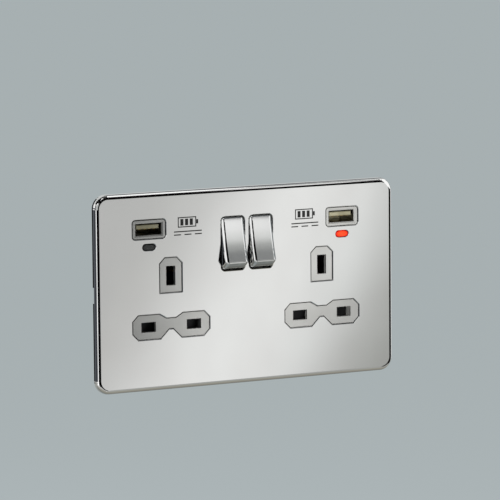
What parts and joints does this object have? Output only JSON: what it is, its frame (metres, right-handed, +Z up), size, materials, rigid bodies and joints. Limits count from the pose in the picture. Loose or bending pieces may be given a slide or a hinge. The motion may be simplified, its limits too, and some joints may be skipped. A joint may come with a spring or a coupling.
{
  "type": "switched wall socket with charging ports",
  "caption": "Double switched wall socket with a polished clip-on plate, two rocker switches and two charging ports, for a flush wall box.",
  "frame": {"origin": "on the wall plane, midway between the two fixing screws", "axes": "+X to the right seen from the room, +Y into the wall, +Z up"},
  "size_m": [0.148, 0.0331, 0.088],
  "materials": {
    "polished_chrome": "mirror polished plate",
    "grey_moulding": "fine matt grey",
    "rear_moulding": "matt black",
    "brass": "satin",
    "plated_steel": "zinc plated",
    "board_laminate": "green solder mask",
    "transformer_tape": "yellow winding tape",
    "capacitor_sleeve": "shrink sleeve",
    "led_package": "cream package",
    "dark_nylon": "satin",
    "spring_steel": "drawn wire",
    "shutter_plastic": "satin",
    "usb_steel": "nickel plated",
    "usb_insulator": "cream",
    "gold_contacts": "gold flash",
    "lens_dark": "smoked, unlit",
    "lens_lit": "red, lit"
  },
  "bodies": {
    "chassis": {"face_moulding": "grey_moulding", "rear_cover": "rear_moulding", "supply_bar": "brass", "neutral_strap": "brass", "earth_strap": "brass", "terminal_block_neutral": "brass", "terminal_block_earth": "brass", "terminal_block_live": "brass", "terminal_screws": "plated_steel", "case_screws": "plated_steel", "fixing_screws": "plated_steel", "charger_board": "board_laminate", "transformer": "transformer_tape", "smoothing_capacitor": "capacitor_sleeve", "indicator_leds": "led_package", "live_link_left": "brass", "shutter_spring_left": "spring_steel", "usb_shell_left": "usb_steel", "usb_tongue_left": "usb_insulator", "usb_contacts_left": "gold_contacts", "live_link_right": "brass", "shutter_spring_right": "spring_steel", "usb_shell_right": "usb_steel", "usb_tongue_right": "usb_insulator", "usb_contacts_right": "gold_contacts", "indicator_lens_left": "lens_dark", "indicator_lens_right": "lens_lit"},
    "plate": {"front_plate": "polished_chrome"},
    "rocker_left": {"rocker_cap_left": "polished_chrome", "rocker_carrier_left": "dark_nylon", "plunger_spring_left": "spring_steel"},
    "plunger_left": {"plunger_left": "dark_nylon"},
    "lever_left": {"contact_lever_left": "brass"},
    "shutter_left": {"shutter_left": "shutter_plastic"},
    "rocker_right": {"rocker_cap_right": "polished_chrome", "rocker_carrier_right": "dark_nylon", "plunger_spring_right": "spring_steel"},
    "plunger_right": {"plunger_right": "dark_nylon"},
    "lever_right": {"contact_lever_right": "brass"},
    "shutter_right": {"shutter_right": "shutter_plastic"}
  },
  "joints": [
    {"name": "rocker_left", "type": "hinge", "parent": "chassis", "child": "rocker_left", "pos_m": [-0.00695, 0.00085, 0.01905], "axis": [1, 0, 0], "range_deg": [0, 27.6]},
    {"name": "lever_left", "type": "hinge", "parent": "chassis", "child": "lever_left", "pos_m": [-0.00695, 0.01172, 0.01905], "axis": [1, 0, 0], "range_deg": [-16.01, 0]},
    {"name": "plunger_left", "type": "slide", "parent": "rocker_left", "child": "plunger_left", "axis": [0, -0.9711, 0.2385], "range_m": [0, 0.0008], "stiffness_N_per_m": 300, "springref_m": -0.003, "deforming": ["plunger_spring_left"]},
    {"name": "shutter_left", "type": "slide", "parent": "chassis", "child": "shutter_left", "axis": [0, 0, -1], "range_m": [0, 0.0053], "stiffness_N_per_m": 150, "springref_m": -0.006, "deforming": ["shutter_spring_left"]},
    {"name": "rocker_right", "type": "hinge", "parent": "chassis", "child": "rocker_right", "pos_m": [0.00695, 0.00085, 0.01905], "axis": [1, 0, 0], "range_deg": [0, 27.6]},
    {"name": "lever_right", "type": "hinge", "parent": "chassis", "child": "lever_right", "pos_m": [0.00695, 0.01172, 0.01905], "axis": [1, 0, 0], "range_deg": [-16.01, 0]},
    {"name": "plunger_right", "type": "slide", "parent": "rocker_right", "child": "plunger_right", "axis": [0, -0.9711, 0.2385], "range_m": [0, 0.0008], "stiffness_N_per_m": 300, "springref_m": -0.003, "deforming": ["plunger_spring_right"]},
    {"name": "shutter_right", "type": "slide", "parent": "chassis", "child": "shutter_right", "axis": [0, 0, -1], "range_m": [0, 0.0053], "stiffness_N_per_m": 150, "springref_m": -0.006, "deforming": ["shutter_spring_right"]},
    {"name": "plate_pull", "type": "slide", "parent": "chassis", "child": "plate", "axis": [0, -1, 0], "range_m": [0, 0.016]}
  ],
  "couplings": [
    {"joint": "lever_left", "follows": "rocker_left", "ratio": -0.57971},
    {"joint": "lever_right", "follows": "rocker_right", "ratio": -0.57971}
  ]
}
